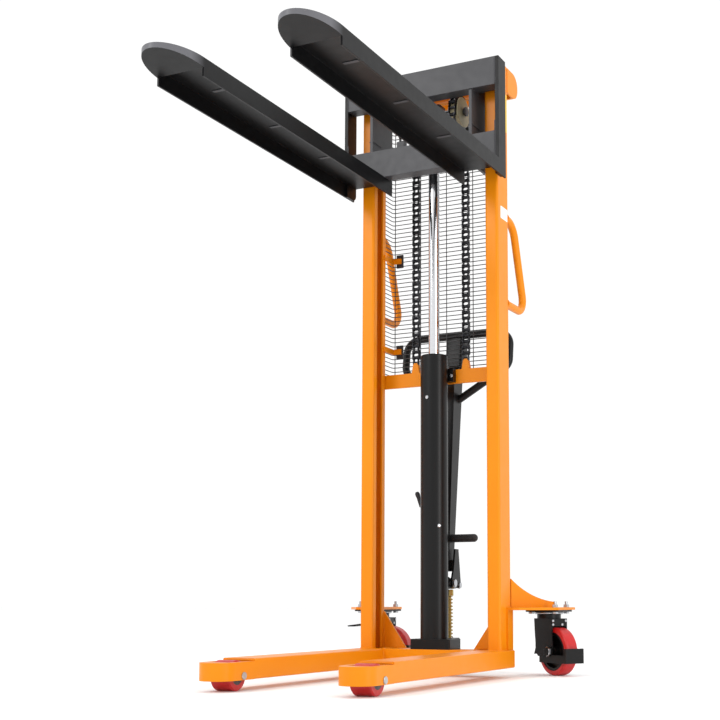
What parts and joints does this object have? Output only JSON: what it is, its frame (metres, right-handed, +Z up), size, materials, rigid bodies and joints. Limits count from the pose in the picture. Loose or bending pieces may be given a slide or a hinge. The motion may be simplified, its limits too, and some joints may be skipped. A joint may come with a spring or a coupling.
{
  "type": "walkie stacker",
  "caption": "Hand-pumped hydraulic pallet stacker with a channel mast, lifting forks on chains, straddle legs, a pump tiller and braked swivel casters.",
  "frame": {"origin": "on the floor, under the middle of the machine's footprint with the forks raised", "axes": "+Z up, -Y towards the fork tips, +Y towards the operator, +X to the right in a view along +Y"},
  "size_m": [0.853, 1.499, 1.962],
  "materials": {
    "orange_paint": "gloss powder coat",
    "grey_paint": "satin charcoal powder coat",
    "black_paint": "semi-gloss black enamel",
    "hard_chrome": "ground hard chrome",
    "dark_steel": "turned steel, oiled",
    "zinc_steel": "bright zinc plate",
    "yellow_zinc": "yellow passivated zinc",
    "chain_steel": "oiled chain steel",
    "guard_wire": "dark coated wire",
    "wheel_cast": "cream primed casting",
    "red_urethane": "moulded red polyurethane",
    "black_rubber": "moulded black rubber"
  },
  "bodies": {
    "frame": {"mast_upright_left": "orange_paint", "mast_upright_right": "orange_paint", "mast_top_beam": "orange_paint", "chain_crossbar": "orange_paint", "base_crossmember": "orange_paint", "leg_left": "orange_paint", "leg_right": "orange_paint", "caster_bracket_left": "orange_paint", "caster_bracket_right": "orange_paint", "side_grip_left": "orange_paint", "side_grip_right": "orange_paint", "mesh_guard": "guard_wire", "mesh_tabs": "orange_paint", "mesh_pads": "black_rubber", "cylinder_barrel": "black_paint", "cylinder_gland": "black_paint", "pump_block": "black_paint", "tiller_pivot_pin": "zinc_steel", "load_axles": "zinc_steel", "caster_plates": "black_paint", "caster_bolts": "zinc_steel", "chain_fixed_left": "chain_steel", "chain_fixed_right": "chain_steel", "pump_spring": "zinc_steel"},
    "rod": {"piston_rod": "hard_chrome", "rod_head": "dark_steel", "chain_wraps": "chain_steel", "chain_carriage_left": "chain_steel", "chain_carriage_right": "chain_steel"},
    "chain_wheels": {"chain_wheels": "wheel_cast"},
    "carriage": {"carriage_top_beam": "grey_paint", "carriage_lower_beam": "grey_paint", "roller_plate_left": "grey_paint", "roller_plate_right": "grey_paint", "roller_axles": "dark_steel", "fork_left": "grey_paint", "fork_right": "grey_paint"},
    "rollers_lower": {"guide_rollers_lower": "dark_steel"},
    "rollers_upper": {"guide_rollers_upper": "dark_steel"},
    "load_wheel_left": {"load_tread_left": "red_urethane", "load_core_left": "dark_steel"},
    "load_wheel_right": {"load_tread_right": "red_urethane", "load_core_right": "dark_steel"},
    "caster_left": {"caster_fork_left": "black_paint", "caster_guard_left": "black_paint"},
    "caster_wheel_left": {"caster_core_left": "wheel_cast", "caster_tyre_left": "red_urethane"},
    "caster_brake_left": {"caster_brake_left": "black_paint"},
    "caster_right": {"caster_fork_right": "black_paint", "caster_guard_right": "black_paint"},
    "caster_wheel_right": {"caster_core_right": "wheel_cast", "caster_tyre_right": "red_urethane"},
    "caster_brake_right": {"caster_brake_right": "black_paint"},
    "tiller": {"tiller_column": "black_paint", "tiller_loop": "black_paint", "control_box": "black_paint", "foot_bar": "black_rubber", "push_roller": "zinc_steel"},
    "plunger": {"pump_plunger": "yellow_zinc"},
    "release": {"release_lever": "zinc_steel"}
  },
  "joints": [
    {"name": "rod_slide", "type": "slide", "parent": "frame", "child": "rod", "axis": [0, 0, 1], "range_m": [-0.756, 0], "deforming": ["chain_fixed_left", "chain_fixed_right"]},
    {"name": "carriage_slide", "type": "slide", "parent": "rod", "child": "carriage", "axis": [0, 0, 1], "range_m": [-0.756, 0], "deforming": ["chain_carriage_left", "chain_carriage_right"]},
    {"name": "chain_wheel_spin", "type": "hinge", "parent": "rod", "child": "chain_wheels", "pos_m": [0, 0.4675, 1.82], "axis": [1, 0, 0], "range_deg": [-5, 838]},
    {"name": "rollers_lower_spin", "type": "hinge", "parent": "carriage", "child": "rollers_lower", "pos_m": [0, 0.4675, 1.65], "axis": [1, 0, 0], "range_deg": [-5, 2255]},
    {"name": "rollers_upper_spin", "type": "hinge", "parent": "carriage", "child": "rollers_upper", "pos_m": [0, 0.4675, 1.89], "axis": [1, 0, 0], "range_deg": [-2255, 5]},
    {"name": "load_wheel_left_spin", "type": "hinge", "parent": "frame", "child": "load_wheel_left", "pos_m": [-0.207, -0.3565, 0.04], "axis": [1, 0, 0], "continuous": true},
    {"name": "load_wheel_right_spin", "type": "hinge", "parent": "frame", "child": "load_wheel_right", "pos_m": [0.207, -0.3565, 0.04], "axis": [1, 0, 0], "continuous": true},
    {"name": "caster_left_swivel", "type": "hinge", "parent": "frame", "child": "caster_left", "pos_m": [-0.309, 0.6715, 0.19], "axis": [0, 0, 1], "continuous": true},
    {"name": "caster_left_spin", "type": "hinge", "parent": "caster_left", "child": "caster_wheel_left", "pos_m": [-0.26406, 0.67385, 0.075], "axis": [-0.0523, 0.9986, 0], "continuous": true},
    {"name": "caster_left_brake", "type": "hinge", "parent": "caster_left", "child": "caster_brake_left", "pos_m": [-0.34994, 0.66935, 0.15], "axis": [0.0523, -0.9986, 0], "range_deg": [0, 4.5]},
    {"name": "caster_right_swivel", "type": "hinge", "parent": "frame", "child": "caster_right", "pos_m": [0.309, 0.6715, 0.19], "axis": [0, 0, 1], "continuous": true},
    {"name": "caster_right_spin", "type": "hinge", "parent": "caster_right", "child": "caster_wheel_right", "pos_m": [0.34674, 0.64699, 0.075], "axis": [0.5446, 0.8387, 0], "continuous": true},
    {"name": "caster_right_brake", "type": "hinge", "parent": "caster_right", "child": "caster_brake_right", "pos_m": [0.27461, 0.69383, 0.15], "axis": [-0.5446, -0.8387, 0], "range_deg": [0, 4.5]},
    {"name": "tiller_pivot", "type": "hinge", "parent": "frame", "child": "tiller", "pos_m": [0, 0.5395, 0.29], "axis": [-1, 0, 0], "range_deg": [0, 40], "stiffness_Nm_per_rad": 60, "springref_deg": -8.59},
    {"name": "pump_stroke", "type": "slide", "parent": "frame", "child": "plunger", "axis": [0, 0, 1], "range_m": [-0.0285, 0], "deforming": ["pump_spring"]},
    {"name": "release_pull", "type": "hinge", "parent": "frame", "child": "release", "pos_m": [-0.062, 0.5295, 0.098], "axis": [-1, 0, 0], "range_deg": [0, 18], "stiffness_Nm_per_rad": 2, "springref_deg": -11.46}
  ],
  "couplings": [
    {"joint": "carriage_slide", "follows": "rod_slide", "ratio": 1},
    {"joint": "chain_wheel_spin", "follows": "rod_slide", "rad_per_m": -19.231},
    {"joint": "rollers_lower_spin", "follows": "rod_slide", "rad_per_m": -51.948},
    {"joint": "rollers_upper_spin", "follows": "rod_slide", "rad_per_m": 51.948},
    {"joint": "pump_stroke", "follows": "tiller_pivot", "m_per_rad": -0.0404}
  ]
}
